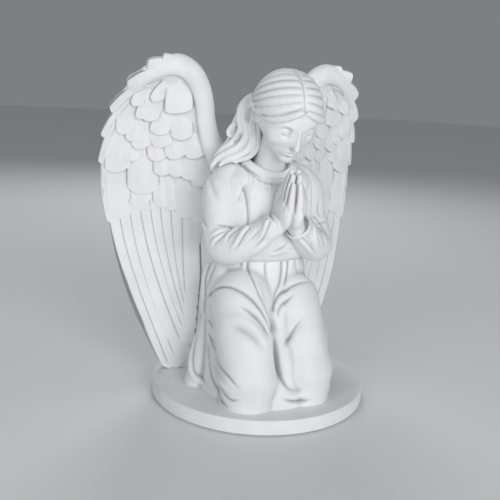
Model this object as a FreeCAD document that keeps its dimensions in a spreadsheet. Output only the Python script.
"""Kneeling angel figurine in cast resin, built up from separate castings on a round plinth.

Row frame: millimetres, +Z up, origin at the centre of the plinth's underside. The figure faces -Y.
Each casting is modelled about the figure's own mid-plane and then moved sideways by figure_offset,
because the figure kneels a little to one side of the plinth's centre.
"""
import FreeCAD, Part
import math
import os
import Sketcher
from FreeCAD import Placement, Rotation, Vector

DOC = FreeCAD.newDocument("kneeling_angel")
SHEET = DOC.addObject("Spreadsheet::Sheet", "sizes")
SUB_PARTS = []
ALIASES = set()
OUT_FOLDER = "parts"

# ---------------------------------------------------------------- driving dimensions

PLINTH = {
    "felt_radius": 71.0, "felt_thick": 1.2,
    "plinth_radius": 75.0, "plinth_top": 11.0, "plinth_edge": 0.8,
    "figure_offset": -6.0,
}
FIXINGS = {
    "screw_front": -36.0, "screw_back": 14.0, "screw_shank": 1.95, "screw_length": 16.0,
    "screw_head": 3.6, "screw_head_thick": 2.4, "screw_socket": 1.5,
    "washer_outer": 4.3, "washer_inner": 2.1, "washer_thick": 0.8,
    "bore_clear": 2.25, "counterbore": 4.8, "counterbore_depth": 4.4,
    "insert_outer": 3.0, "insert_inner": 2.0, "insert_length": 10.0, "glue_gap": 0.05,
    "dowel_thick": 1.5, "dowel_heavy": 2.0,
    "waist_pin_wide": 14.0, "waist_pin_front": -6.0, "waist_pin_length": 18.0,
    "pour_hole": 9.0, "pour_front": -12.0, "plug_length": 7.0, "overrun": 1.0,
}
# Oval sections of the draped castings: height, half width, front and back.
SKIRT = {
    "hem": (11.0, 42.0, -61.0, 41.0),
    "shin": (24.0, 39.0, -59.5, 37.5),
    "knee": (40.0, 37.5, -55.5, 33.0),
    "thigh": (58.0, 37.0, -49.0, 28.0),
    "hip": (76.0, 34.5, -42.0, 24.0),
    "belly": (92.0, 33.0, -33.0, 20.0),
    "waist": (104.0, 31.0, -28.0, 17.0),
}
SKIRT_HOLLOW = {
    "low": (24.0, 28.0, -44.0, 24.0),
    "middle": (50.0, 28.0, -40.0, 20.0),
    "high": (88.0, 24.0, -24.0, 12.0),
}
BODICE = {
    "gather": (104.0, 32.5, -34.0, 18.0),
    "pouch": (110.0, 34.5, -37.0, 18.0),
    "ribs": (122.0, 34.0, -35.0, 15.0),
    "chest": (138.0, 35.0, -34.0, 13.0),
    "armpit": (148.0, 35.5, -31.5, 12.0),
    "shoulder": (156.0, 33.0, -28.0, 11.0),
    "collar": (162.0, 25.0, -24.0, 8.0),
    "neck": (166.0, 15.0, -19.0, 3.0),
}
LIMBS = {
    "thigh_top_wide": 16.5, "thigh_top_front": -24.0, "thigh_top_high": 80.0, "thigh_top_thick": 17.5,
    "flare_wide": 22.0, "flare_front": -42.0, "flare_round": 19.0, "flare_high": 7.0,
    "knee_wide": 17.5, "knee_front": -45.5, "knee_high": 29.0, "knee_thick": 18.0,
    "shoulder_wide": 30.0, "shoulder_front": -9.0, "shoulder_high": 150.0, "shoulder_thick": 11.0,
    "elbow_wide": 36.0, "elbow_front": -21.0, "elbow_high": 107.0, "elbow_thick": 10.5,
    "cuff_wide": 9.5, "cuff_front": -42.0, "cuff_high": 128.0, "cuff_thick": 9.0,
    "arm_pin_front": -9.0, "arm_pin_high": 148.0, "arm_pin_inner": 27.0, "arm_pin_length": 14.0,
    "wrist_pin_wide": 4.0, "wrist_pin_high": 132.0, "wrist_pin_length": 18.0,
    "hand_thick": 7.0, "hand_gap": 0.1, "hand_lean": 13.0, "hand_front": -44.0, "hand_low": 124.0,
    "palm_width": 19.0, "palm_length": 22.0, "hand_length": 42.0, "tip_width": 9.0,
}
HEAD = {
    "head_front": -38.0, "head_high": 196.5, "head_bow": 37.0,
    "skull_wide": 20.5, "skull_long": 22.5, "skull_high": 21.0,
    "jaw_wide": 16.0, "jaw_long": 17.0, "jaw_high": 18.5, "jaw_forward": -6.5, "jaw_drop": -8.0,
    "neck_base_front": -11.0, "neck_base_high": 157.0, "neck_thick": 10.5, "neck_top_thick": 9.5,
    "neck_length": 32.0, "neck_slope": 38.0,
    "neck_pin_front": -13.0, "neck_pin_low": 147.0, "neck_pin_length": 18.0,
    "band_round": 14.5, "band_thick": 2.2, "band_front": -14.5, "band_high": 161.0, "band_tilt": 22.0,
    "hair_wide": 24.5, "hair_long": 26.5, "hair_high": 24.5, "hair_shift": 1.5,
    "face_edge": 9.0, "fringe_edge": 14.0,
    "fall_wide": 20.0, "fall_thick": 11.5, "fall_high": 33.0,
    "fall_back": -5.0, "fall_centre": 178.0, "fall_lean": 32.0,
    "lock_thick": 9.0, "lock_end_thick": 7.0,
    "lock_top_wide": 20.0, "lock_top_front": -22.0, "lock_top_high": 188.0,
    "lock_end_wide": 31.0, "lock_end_front": -6.0, "lock_end_high": 161.0,
}
# Crescent sections of a wing: height, inner and outer edge from the mid-plane, how far back each
# edge stands, thickness, and how far the middle bows back.
WING = {
    "tip": (11.2, 34.0, 46.5, 27.0, 31.0, 3.0, 0.3),
    "heel": (30.0, 34.0, 56.5, 24.0, 30.0, 3.6, 1.5),
    "calf": (51.0, 33.5, 66.5, 21.5, 31.5, 4.2, 3.0),
    "flank": (75.0, 33.0, 75.5, 19.5, 35.0, 5.0, 4.0),
    "waist": (102.0, 32.5, 87.0, 17.5, 41.5, 6.0, 4.5),
    "rib": (122.0, 31.5, 93.5, 15.5, 46.0, 7.0, 4.5),
    "breast": (140.0, 27.5, 97.0, 13.5, 47.5, 8.0, 4.5),
    "root": (160.0, 20.5, 98.5, 11.0, 47.0, 9.0, 4.5),
    "neck": (176.0, 24.5, 97.5, 11.5, 43.5, 9.5, 4.5),
    "cheek": (190.0, 27.5, 94.0, 12.0, 37.5, 9.5, 4.0),
    "brow": (206.0, 30.0, 87.5, 12.0, 27.5, 9.5, 3.0),
    "crown": (217.0, 34.0, 78.5, 12.0, 19.0, 9.0, 2.0),
    "crest": (225.0, 40.0, 71.0, 12.0, 14.5, 8.0, 1.0),
    "peak": (231.5, 51.0, 62.0, 12.5, 13.5, 4.5, 0.3),
}
WING_FIXING = {
    "seat_wide": 21.0, "seat_high": 156.0, "seat_radius": 8.5, "seat_front": 1.0, "seat_back": 13.0,
    "wing_pin_wide": 19.0, "wing_pin_low": 148.5, "wing_pin_high": 157.0,
    "wing_pin_front": -7.0, "wing_pin_length": 19.0,
    "tip_pin_wide": 42.0, "tip_pin_back": 29.5, "tip_pin_radius": 0.8,
    "tip_pin_low": 7.0, "tip_pin_length": 10.0,
}
OVAL_FIELDS = ("high", "half", "front", "back")
CRESCENT_FIELDS = ("high", "inner", "outer", "inner_back", "outer_back", "thick", "bow")


def add_cells():
    """Writes every driving dimension to the sheet, one aliased row each."""
    rows = {}
    for plain in (PLINTH, FIXINGS, LIMBS, HEAD, WING_FIXING):
        rows.update(plain)
    for prefix, fields, table in (
        ("skirt", OVAL_FIELDS, SKIRT),
        ("hollow", OVAL_FIELDS, SKIRT_HOLLOW),
        ("bodice", OVAL_FIELDS, BODICE),
        ("wing", CRESCENT_FIELDS, WING),
    ):
        for level, values in table.items():
            for field, value in zip(fields, values):
                rows[f"{prefix}_{level}_{field}"] = value
    for number, (alias, value) in enumerate(rows.items(), start=1):
        SHEET.set(f"A{number}", alias)
        SHEET.set(f"B{number}", str(value))
        SHEET.setAlias(f"B{number}", alias)
    ALIASES.update(rows)
    DOC.recompute()


def size(alias):
    """The sheet's value for a cell, for shapes and places that code works out."""
    return float(SHEET.get(alias))


def cells(text):
    """Turns words of a formula that are aliases into references to the sheet."""
    words = text.replace("(", " ( ").replace(")", " ) ").split()
    return " ".join(f"<<sizes>>.{w}" if w in ALIASES else w for w in words)


def bind(thing, **formulas):
    """Binds properties to formulas of the sheet's cells. A double underscore stands for a dot."""
    for name, text in formulas.items():
        thing.setExpression(name.replace("__", "."), cells(text))


def finish(thing, label, on_figure=True):
    """Sets a finished casting in its place, names it and lists it for export.

    The placed sub-part holds the casting itself, which stays about the figure's mid-plane,
    so that other castings can still be cut against it or mirrored from it.
    """
    placed = compound(f"{label}_placed", thing)
    placed.Label = label
    if on_figure:
        bind(placed, Placement__Base__x="figure_offset")
    SUB_PARTS.append(placed)
    return thing


# ---------------------------------------------------------------- building blocks

def primitive(kind, name, **formulas):
    made = DOC.addObject(f"Part::{kind}", name)
    bind(made, **formulas)
    return made


def cylinder(name, radius, height, x="0", y="0", z="0"):
    return primitive("Cylinder", name, Radius=radius, Height=height,
                     Placement__Base__x=x, Placement__Base__y=y, Placement__Base__z=z)


def sphere(name, radius, x, y, z):
    return primitive("Sphere", name, Radius=radius,
                     Placement__Base__x=x, Placement__Base__y=y, Placement__Base__z=z)


def aim(thing, start, end):
    """Places a primitive's own Z axis from one point towards another."""
    thing.Placement = Placement(start, Rotation(Vector(0, 0, 1), end - start))


def fuse(name, *pieces):
    made = DOC.addObject("Part::MultiFuse", name)
    made.Shapes = list(pieces)
    return made


def cut(name, base, *tools):
    """Base less the tools. Several tools are fused first."""
    made = DOC.addObject("Part::Cut", name)
    made.Base = base
    made.Tool = tools[0] if len(tools) == 1 else fuse(f"{name}_tools", *tools)
    return made


def compound(name, *pieces):
    made = DOC.addObject("Part::Compound", name)
    made.Links = list(pieces)
    return made


def mirrored(name, source):
    """The same shape on the other side of the figure's mid-plane."""
    made = DOC.addObject("Part::Mirroring", name)
    made.Source = source
    made.Normal = (1, 0, 0)
    made.Base = (0, 0, 0)
    return made


def plane_of(body, role):
    return next(f for f in body.Origin.OriginFeatures if f.Role == role)


def flat_sketch(body, name, height=None, role="XY_Plane"):
    """A sketch on one of the body's own planes, raised by a cell's value."""
    made = body.newObject("Sketcher::SketchObject", name)
    made.AttachmentSupport = [(plane_of(body, role), "")]
    made.MapMode = "FlatFace"
    if height:
        bind(made, AttachmentOffset__Base__z=height)
    return made


def add_circle(sketch, radius):
    """A circle about the sketch's origin whose radius follows the sheet."""
    edge = sketch.addGeometry(Part.Circle(Vector(0, 0, 0), Vector(0, 0, 1), 5.0))
    sketch.addConstraint(Sketcher.Constraint("Coincident", edge, 3, -1, 1))
    number = sketch.addConstraint(Sketcher.Constraint("Radius", edge, 5.0))
    sketch.setExpression(f"Constraints[{number}]", cells(radius))
    return edge


def oval_sketch(body, prefix, values):
    """An oval section: an ellipse on the mid-plane between its front and back."""
    high, half, front, back = values
    sketch = flat_sketch(body, prefix, f"{prefix}_high")
    deep = (back - front) / 2
    middle = (back + front) / 2
    wide_is_long = half >= deep
    long_end = Vector(half, middle, 0) if wide_is_long else Vector(0, middle + deep, 0)
    short_end = Vector(0, middle + deep, 0) if wide_is_long else Vector(-half, middle, 0)
    edge = sketch.addGeometry(Part.Ellipse(long_end, short_end, Vector(0, middle, 0)))
    sketch.exposeInternalGeometry(edge)
    long_axis, short_axis = edge + 1, edge + 2
    half_formula = f"2 * {prefix}_half"
    deep_formula = f"{prefix}_back - {prefix}_front"
    upright = "Horizontal" if wide_is_long else "Vertical"
    sketch.addConstraint(Sketcher.Constraint(upright, long_axis))
    sketch.addConstraint(Sketcher.Constraint("PointOnObject", edge, 3, -2))
    for axis, formula, value in (
        (long_axis, half_formula if wide_is_long else deep_formula, 2 * max(half, deep)),
        (short_axis, deep_formula if wide_is_long else half_formula, 2 * min(half, deep)),
    ):
        number = sketch.addConstraint(Sketcher.Constraint("Distance", axis, value))
        sketch.setExpression(f"Constraints[{number}]", cells(formula))
    number = sketch.addConstraint(Sketcher.Constraint("DistanceY", -1, 1, edge, 3, middle))
    sketch.setExpression(f"Constraints[{number}]", cells(f"( {prefix}_back + {prefix}_front ) / 2"))
    return sketch


def oval_loft(name, prefix, table):
    """A body lofted through oval sections, lowest first."""
    body = DOC.addObject("PartDesign::Body", name)
    sketches = [oval_sketch(body, f"{prefix}_{level}", values) for level, values in table.items()]
    DOC.recompute()
    loft = body.newObject("PartDesign::AdditiveLoft", f"{name}_loft")
    loft.Profile = sketches[0]
    loft.Sections = sketches[1:]
    loft.Ruled = False
    DOC.recompute()
    return body


def disc(name, radius, low, high):
    """A body padded from a circle between two heights."""
    body = DOC.addObject("PartDesign::Body", name)
    sketch = flat_sketch(body, f"{name}_outline", low)
    add_circle(sketch, radius)
    pad = body.newObject("PartDesign::Pad", f"{name}_pad")
    pad.Profile = sketch
    bind(pad, Length=f"{high} - {low}" if low else high)
    DOC.recompute()
    return body


def point(prefix, side=-1):
    """A limb's joint centre on one side of the figure, from its cells."""
    return Vector(side * size(f"{prefix}_wide"), size(f"{prefix}_front"), size(f"{prefix}_high"))


def limb(name, start, end, start_cell, end_cell):
    """A tapered round limb between two joints, with a ball at each joint."""
    first, last = point(start), point(end)
    cone = primitive("Cone", f"{name}_taper", Radius1=start_cell, Radius2=end_cell)
    cone.Height = (last - first).Length
    aim(cone, first, last)
    return cone


def ball(name, prefix):
    return sphere(name, f"{prefix}_thick", f"-1 * {prefix}_wide", f"{prefix}_front", f"{prefix}_high")


# ---------------------------------------------------------------- plinth and its fixings

def screw_places():
    return (("front", "screw_front"), ("back", "screw_back"))


def make_plinth():
    """The turned disc, with two counterbored holes and two blind holes for the wing-tip pins."""
    body = disc("plinth_blank", "plinth_radius", "felt_thick", "plinth_top")
    rim = body.newObject("PartDesign::Fillet", "plinth_rim")
    pad = body.getObject("plinth_blank_pad")
    round_edges = [
        f"Edge{number}" for number, edge in enumerate(pad.Shape.Edges, start=1)
        if isinstance(edge.Curve, Part.Circle)
    ]
    rim.Base = (pad, round_edges)
    bind(rim, Radius="plinth_edge")
    DOC.recompute()
    holes = []
    for place, cell in screw_places():
        holes.append(cylinder(f"bore_{place}", "bore_clear", "plinth_top", "figure_offset", cell))
        holes.append(cylinder(f"counterbore_{place}", "counterbore", "counterbore_depth",
                              "figure_offset", cell, "felt_thick"))
    for side, sign in (("right", "-1"), ("left", "1")):
        holes.append(cylinder(f"tip_bore_{side}", "tip_pin_radius + glue_gap", "plinth_top",
                              f"figure_offset + {sign} * tip_pin_wide", "tip_pin_back", "tip_pin_low"))
    finish(cut("plinth_drilled", body, *holes), "plinth", on_figure=False)


def make_felt():
    finish(disc("felt_disc", "felt_radius", "", "felt_thick"), "felt_pad", on_figure=False)


def make_fixings():
    """Two socket screws with washers come up from below into brass inserts in the skirt casting."""
    screws, washers, inserts = [], [], []
    seat = "felt_thick + counterbore_depth"
    for place, y in screw_places():
        head_low = f"{seat} - washer_thick - screw_head_thick"
        under_washer = f"{seat} - washer_thick"
        shank = cylinder(f"shank_{place}", "screw_shank", "screw_length", y=y, z=under_washer)
        head = cylinder(f"head_{place}", "screw_head", "screw_head_thick", y=y, z=head_low)
        socket = primitive("Prism", f"socket_{place}", Circumradius="screw_socket",
                           Height="screw_head_thick / 2",
                           Placement__Base__y=y, Placement__Base__z=head_low)
        socket.Polygon = 6
        screws.append(cut(f"screw_{place}_made", fuse(f"screw_{place}_solid", head, shank), socket))
        disc_blank = cylinder(f"washer_{place}_blank", "washer_outer", "washer_thick", y=y, z=under_washer)
        disc_hole = cylinder(f"washer_{place}_hole", "washer_inner", "washer_thick", y=y, z=under_washer)
        washers.append(cut(f"washer_{place}_made", disc_blank, disc_hole))
        tube = cylinder(f"insert_{place}_blank", "insert_outer", "insert_length", y=y, z="plinth_top")
        bore = cylinder(f"insert_{place}_bore", "insert_inner", "insert_length", y=y, z="plinth_top")
        inserts.append(cut(f"insert_{place}_made", tube, bore))
    finish(compound("screw_pair", *screws), "plinth_screws")
    finish(compound("washer_pair", *washers), "screw_washers")
    finish(compound("insert_pair", *inserts), "threaded_inserts")


# ---------------------------------------------------------------- draped figure

def thigh_pieces(side_name):
    """One thigh under the cloth, from hip to knee, on the figure's right."""
    return (
        limb(f"thigh_{side_name}", "thigh_top", "knee", "thigh_top_thick", "knee_thick"),
        ball(f"hip_ball_{side_name}", "thigh_top"),
        ball(f"knee_ball_{side_name}", "knee"),
    )


def dowel_pair(name, radius, x, y, z, length, axis="z"):
    """Two pins either side of the mid-plane, and the two holes that take them."""
    pins, holes = [], []
    for side, sign in (("right", "-1"), ("left", "1")):
        for kept, extra, label in ((pins, "", "pin"), (holes, " + glue_gap", "hole")):
            place = f"{sign} * ( {x} )"
            made = cylinder(f"{name}_{label}_{side}", f"{radius}{extra}", length, place, y, z)
            if axis == "y":
                made.Placement = Placement(Vector(0, 0, 0), Rotation(Vector(1, 0, 0), -90))
                bind(made, Placement__Base__x=place, Placement__Base__y=y, Placement__Base__z=z)
            kept.append(made)
    return pins, holes


def make_skirt():
    """Lower robe: a hollow casting lofted from hem to waist, with both thighs pressing through."""
    cloth = oval_loft("skirt_cloth", "skirt", SKIRT)
    right_thigh = fuse("right_thigh", *thigh_pieces("right"))
    left_thigh = mirrored("left_thigh", right_thigh)
    right_flare = primitive("Ellipsoid", "right_flare", Radius2="flare_round", Radius3="flare_round",
                            Radius1="flare_high", Placement__Base__x="-1 * flare_wide",
                            Placement__Base__y="flare_front", Placement__Base__z="plinth_top + 2")
    left_flare = mirrored("left_flare", right_flare)
    draped = fuse("skirt_draped", cloth, right_thigh, left_thigh, right_flare, left_flare)
    hollow = oval_loft("skirt_hollow", "hollow", SKIRT_HOLLOW)
    pour = cylinder("pour_bore", "pour_hole", "hollow_low_high - plinth_top + overrun",
                    y="pour_front", z="plinth_top")
    below = primitive("Cylinder", "below_hem", Radius="2 * plinth_radius", Height="2 * plinth_radius",
                      Placement__Base__z="plinth_top - 2 * plinth_radius")
    above = primitive("Cylinder", "above_waist", Radius="2 * plinth_radius", Height="2 * plinth_radius",
                      Placement__Base__z="skirt_waist_high")
    insert_holes = [
        cylinder(f"insert_hole_{place}", "insert_outer + glue_gap", "insert_length", y=y, z="plinth_top")
        for place, y in screw_places()
    ]
    pins, holes = dowel_pair("waist", "dowel_heavy", "waist_pin_wide", "waist_pin_front",
                             "skirt_waist_high - waist_pin_length / 2", "waist_pin_length")
    finish(compound("waist_pin_pair", *pins), "waist_dowels")
    tools = [hollow, pour, below, above, *insert_holes, *holes]
    casting = finish(cut("skirt_casting", draped, *tools), "skirt")
    plug = cylinder("pour_plug_body", "pour_hole - glue_gap", "plug_length",
                    y="pour_front", z="plinth_top + overrun")
    finish(plug, "pour_plug")
    return casting, holes


def make_bodice(waist_holes):
    """Upper robe, gathered over the waist and carrying neck, arms and wings on pins."""
    plain_cloth = oval_loft("bodice_cloth", "bodice", BODICE)
    band = primitive("Torus", "neckband", Radius1="band_round", Radius2="band_thick")
    band.Placement = Placement(Vector(0, size("band_front"), size("band_high")),
                               Rotation(Vector(1, 0, 0), size("band_tilt")))
    cloth = fuse("banded_cloth", plain_cloth, band)
    neck_place = {"y": "neck_pin_front", "z": "neck_pin_low"}
    neck_pin = cylinder("neck_pin", "dowel_heavy", "neck_pin_length", **neck_place)
    neck_hole = cylinder("neck_hole", "dowel_heavy + glue_gap", "neck_pin_length", **neck_place)
    arm_pins, arm_holes = dowel_pair("arm", "dowel_thick", "arm_pin_inner", "arm_pin_front",
                                     "arm_pin_high", "arm_pin_length")
    for made in (*arm_pins, *arm_holes):
        outward = Vector(-1 if "right" in made.Name else 1, 0, 0)
        made.Placement.Rotation = Rotation(Vector(0, 0, 1), outward)
    wing_pins, wing_holes = [], []
    for level in ("wing_pin_low", "wing_pin_high"):
        pins, holes = dowel_pair(level, "dowel_thick", "wing_pin_wide", "wing_pin_front", level,
                                 "wing_pin_length", axis="y")
        wing_pins += pins
        wing_holes += holes
    finish(neck_pin, "neck_dowel")
    finish(compound("arm_pin_pair", *arm_pins), "shoulder_dowels")
    finish(compound("wing_pin_set", *wing_pins), "wing_dowels")
    plain = cut("bodice_casting", cloth, *waist_holes, neck_hole, *arm_holes, *wing_holes)
    finish(plain, "bodice")
    return cloth, neck_hole, arm_holes, wing_holes


def make_sleeves(bodice_cloth, skirt, arm_hole, hand_tools):
    """Bent arms in loose sleeves, cut to lie against the bodice and open at the cuff."""
    blank = fuse(
        "sleeve_blank",
        limb("upper_arm", "shoulder", "elbow", "shoulder_thick", "elbow_thick"),
        limb("forearm", "elbow", "cuff", "elbow_thick", "cuff_thick"),
        ball("shoulder_ball", "shoulder"),
        ball("elbow_ball", "elbow"),
    )
    across = primitive("Box", "past_mid_plane", Length="plinth_radius", Width="2 * plinth_radius",
                       Height="4 * plinth_radius", Placement__Base__y="-1 * plinth_radius")
    right = cut("right_sleeve_casting", blank, bodice_cloth, skirt, across, arm_hole, *hand_tools)
    left = mirrored("left_sleeve_casting", right)
    finish(right, "right_sleeve")
    finish(left, "left_sleeve")
    return right, left


def hand_body(name, near, far):
    """A hand seen from the side: wrist, palm and closed fingers, padded to its thickness."""
    body = DOC.addObject("PartDesign::Body", name)
    sketch = flat_sketch(body, f"{name}_outline", role="YZ_Plane")
    half, tip = size("palm_width") / 2, size("tip_width") / 2
    palm, whole = size("palm_length"), size("hand_length")
    wrist = half * 0.62
    corners = [
        Vector(-wrist, 0, 0), Vector(wrist, 0, 0),
        Vector(half, palm * 0.45, 0), Vector(half * 0.94, palm, 0),
        Vector(tip, whole - 3, 0), Vector(tip * 0.4, whole, 0),
        Vector(-tip * 0.5, whole - 1.5, 0), Vector(-half * 0.9, palm, 0),
    ]
    count = len(corners)
    for number, corner in enumerate(corners):
        sketch.addGeometry(Part.LineSegment(corner, corners[(number + 1) % count]))
    for number in range(count):
        joined = Sketcher.Constraint("Coincident", number, 2, (number + 1) % count, 1)
        sketch.addConstraint(joined)
    pins = (
        ("DistanceX", 0, 2, wrist, "palm_width * 0.31"),
        ("DistanceY", 0, 2, 0.001, "hand_gap * 0.01"),
        ("DistanceX", 0, 1, -wrist, "-0.31 * palm_width"),
        ("DistanceX", 1, 2, half, "palm_width / 2"),
        ("DistanceY", 1, 2, palm * 0.45, "palm_length * 0.45"),
        ("DistanceY", 2, 2, palm, "palm_length"),
        ("DistanceX", 2, 2, half * 0.94, "palm_width * 0.47"),
        ("DistanceX", 3, 2, tip, "tip_width / 2"),
        ("DistanceY", 3, 2, whole - 3, "hand_length - 3"),
        ("DistanceY", 4, 2, whole, "hand_length"),
        ("DistanceY", 6, 2, palm, "palm_length"),
        ("DistanceX", 6, 2, -half * 0.9, "-0.45 * palm_width"),
    )
    for kind, edge, end, value, formula in pins:
        number = sketch.addConstraint(Sketcher.Constraint(kind, -1, 1, edge, end, value))
        sketch.setExpression(f"Constraints[{number}]", cells(formula))
    DOC.recompute()
    pad = body.newObject("PartDesign::Pad", f"{name}_pad")
    pad.Profile = sketch
    bind(pad, Length=f"{far} - {near}")
    DOC.recompute()
    outer = [
        f"Edge{number}" for number, edge in enumerate(pad.Shape.Edges, start=1)
        if edge.BoundBox.XMin > pad.Length.Value - 0.01 and edge.BoundBox.XLength < 0.01
        and edge.BoundBox.ZMin > 1.0
    ]
    rounding = body.newObject("PartDesign::Fillet", f"{name}_rounding")
    rounding.Base = (pad, outer)
    rounding.Radius = 2.0
    DOC.recompute()
    return body


def make_hands():
    """Two praying hands, palm to palm, each on its own pin in the forearm."""
    left_plain = hand_body("left_hand_blank", "hand_gap", "hand_thick")
    lean = Rotation(Vector(1, 0, 0), size("hand_lean"))
    left_plain.Placement = Placement(
        Vector(size("hand_gap"), size("hand_front"), size("hand_low")), lean)
    right_plain = mirrored("right_hand_blank", left_plain)
    pins, holes = [], []
    for side, sign in (("right", -1), ("left", 1)):
        wrist = Vector(sign * size("wrist_pin_wide"), size("hand_front"), size("wrist_pin_high"))
        inside = wrist + (point("elbow", sign) - wrist).normalize() * size("wrist_pin_length")
        for kept, extra, label in ((pins, "", "pin"), (holes, " + glue_gap", "hole")):
            made = primitive("Cylinder", f"wrist_{label}_{side}", Radius=f"dowel_thick{extra}")
            made.Height = (inside - wrist).Length
            aim(made, wrist, inside)
            kept.append(made)
    finish(compound("wrist_pin_pair", *pins), "wrist_dowels")
    left = finish(cut("left_hand_casting", left_plain, holes[1]), "left_hand")
    finish(mirrored("right_hand_casting", left), "right_hand")
    return right_plain, holes[0]


# ---------------------------------------------------------------- head and hair

def in_head(name, wide, long, high, forward=0.0, up=0.0):
    """An ellipsoid in the bowed head's own frame."""
    made = primitive("Ellipsoid", name, Radius2=wide, Radius3=long, Radius1=high)
    bow = Rotation(Vector(1, 0, 0), size("head_bow"))
    centre = Vector(0, size("head_front"), size("head_high"))
    made.Placement = Placement(centre + bow.multVec(Vector(0, forward, up)), bow)
    return made


def make_head(bodice_cloth, neck_hole):
    """Skull, jaw and neck as one casting, standing on the bodice."""
    neck = primitive("Cone", "neck_taper", Radius1="neck_thick", Radius2="neck_top_thick",
                     Height="neck_length")
    neck.Placement = Placement(Vector(0, size("neck_base_front"), size("neck_base_high")),
                               Rotation(Vector(1, 0, 0), size("neck_slope")))
    skull = in_head("skull", "skull_wide", "skull_long", "skull_high")
    jaw = in_head("jaw", "jaw_wide", "jaw_long", "jaw_high", size("jaw_forward"), size("jaw_drop"))
    solid = fuse("head_solid", skull, jaw, neck)
    finish(cut("head_casting", solid, bodice_cloth, neck_hole), "head")
    return solid


def make_hair(head_solid, bodice_cloth, sleeves, wings):
    """Hair as its own casting: a cap round the skull, open over the face, and the long fall behind."""
    shift = size("hair_shift")
    cap = in_head("hair_cap", "hair_wide", "hair_long", "hair_high", shift, shift)
    face = DOC.addObject("Part::Box", "face_opening")
    bind(face, Length="2 * hair_wide", Width="hair_long", Height="2 * hair_high")
    bow = Rotation(Vector(1, 0, 0), size("head_bow"))
    centre = Vector(0, size("head_front"), size("head_high"))
    corner = Vector(-size("hair_wide"), -size("hair_long") - size("face_edge"),
                    -2 * size("hair_high") + size("fringe_edge"))
    face.Placement = Placement(centre + bow.multVec(corner), bow)
    open_cap = cut("open_cap", cap, face)
    fall = primitive("Ellipsoid", "hair_fall", Radius2="fall_wide", Radius3="fall_thick",
                     Radius1="fall_high")
    fall.Placement = Placement(Vector(0, size("fall_back"), size("fall_centre")),
                               Rotation(Vector(1, 0, 0), size("fall_lean")))
    lock_top, lock_end = point("lock_top", -1), point("lock_end", -1)
    lock = primitive("Cone", "shoulder_lock", Radius1="lock_thick", Radius2="lock_end_thick")
    lock.Height = (lock_end - lock_top).Length
    aim(lock, lock_top, lock_end)
    lock_ball = DOC.addObject("Part::Sphere", "lock_ball")
    bind(lock_ball, Radius="lock_thick")
    lock_ball.Placement.Base = lock_top
    mass = fuse("hair_mass", open_cap, fall, lock, lock_ball)
    finish(cut("hair_casting", mass, head_solid, bodice_cloth, *sleeves, *wings), "hair")


# ---------------------------------------------------------------- wings

def crescent(level):
    """A wing's section at one height: two bowed sides joined by short straight edges."""
    high, inner, outer, inner_back, outer_back, thick, bow = (
        size(f"wing_{level}_{field}") for field in CRESCENT_FIELDS)
    start, end = Vector(inner, inner_back, high), Vector(outer, outer_back, high)
    along = (end - start).normalize()
    back = Vector(-along.y, along.x, 0)
    blunt = thick * 0.3
    middle = (start + end) / 2
    front_arc = Part.Arc(start - back * blunt, middle + back * (bow - thick / 2), end - back * blunt)
    back_arc = Part.Arc(end + back * blunt, middle + back * (bow + thick / 2), start + back * blunt)
    edges = [
        front_arc.toShape(),
        Part.LineSegment(front_arc.EndPoint, back_arc.StartPoint).toShape(),
        back_arc.toShape(),
        Part.LineSegment(back_arc.EndPoint, front_arc.StartPoint).toShape(),
    ]
    return Part.Wire(edges)


def make_wings(bodice_cloth, wing_holes):
    """Each wing is one casting: a bowed blade lofted through crescents, with a round seat on the back."""
    blade = DOC.addObject("Part::Feature", "wing_blade")
    blade.Shape = Part.makeLoft([crescent(level) for level in WING], True, False)
    seat = primitive("Cylinder", "wing_seat", Radius="seat_radius", Height="seat_back - seat_front")
    seat.Placement = Placement(Vector(0, 0, 0), Rotation(Vector(1, 0, 0), -90))
    bind(seat, Placement__Base__x="seat_wide", Placement__Base__y="seat_front",
         Placement__Base__z="seat_high")
    left = fuse("left_wing_blank", blade, seat)
    pins, tip_holes = dowel_pair("tip", "tip_pin_radius", "tip_pin_wide", "tip_pin_back",
                                 "tip_pin_low", "tip_pin_length")
    finish(compound("tip_pin_pair", *pins), "wing_tip_pins")
    left_holes = [hole for hole in wing_holes if "left" in hole.Name]
    left_casting = cut("left_wing_casting", left, bodice_cloth, *left_holes, tip_holes[1])
    right_casting = mirrored("right_wing_casting", left_casting)
    finish(left_casting, "left_wing")
    finish(right_casting, "right_wing")
    return left_casting, right_casting


# ---------------------------------------------------------------- build, check and write

def check_document():
    """Stops if any object failed, or any sub-part's shape is empty, invalid or not solid."""
    for thing in DOC.Objects:
        bad = [state for state in thing.State if state in ("Invalid", "Error")]
        if bad:
            raise RuntimeError(f"{thing.Name} is {bad}")
    for thing in SUB_PARTS:
        shape = thing.Shape
        if shape.isNull() or not shape.isValid() or not shape.Solids:
            raise RuntimeError(f"{thing.Label} has no valid solid")


def write_parts():
    os.makedirs(OUT_FOLDER, exist_ok=True)
    for thing in SUB_PARTS:
        thing.Shape.exportStep(os.path.join(OUT_FOLDER, f"{thing.Label}.step"))
        print(f"{thing.Label}: {len(thing.Shape.Solids)} solid(s), {thing.Shape.Volume / 1000:.2f} cm3")


def main():
    add_cells()
    make_plinth()
    make_felt()
    make_fixings()
    skirt, waist_holes = make_skirt()
    bodice_cloth, neck_hole, arm_holes, wing_holes = make_bodice(waist_holes)
    hand_tools = make_hands()
    sleeves = make_sleeves(bodice_cloth, skirt, arm_holes[0], hand_tools)
    head_solid = make_head(bodice_cloth, neck_hole)
    wings = make_wings(bodice_cloth, wing_holes)
    make_hair(head_solid, bodice_cloth, sleeves, wings)
    DOC.recompute()
    check_document()
    write_parts()


main()
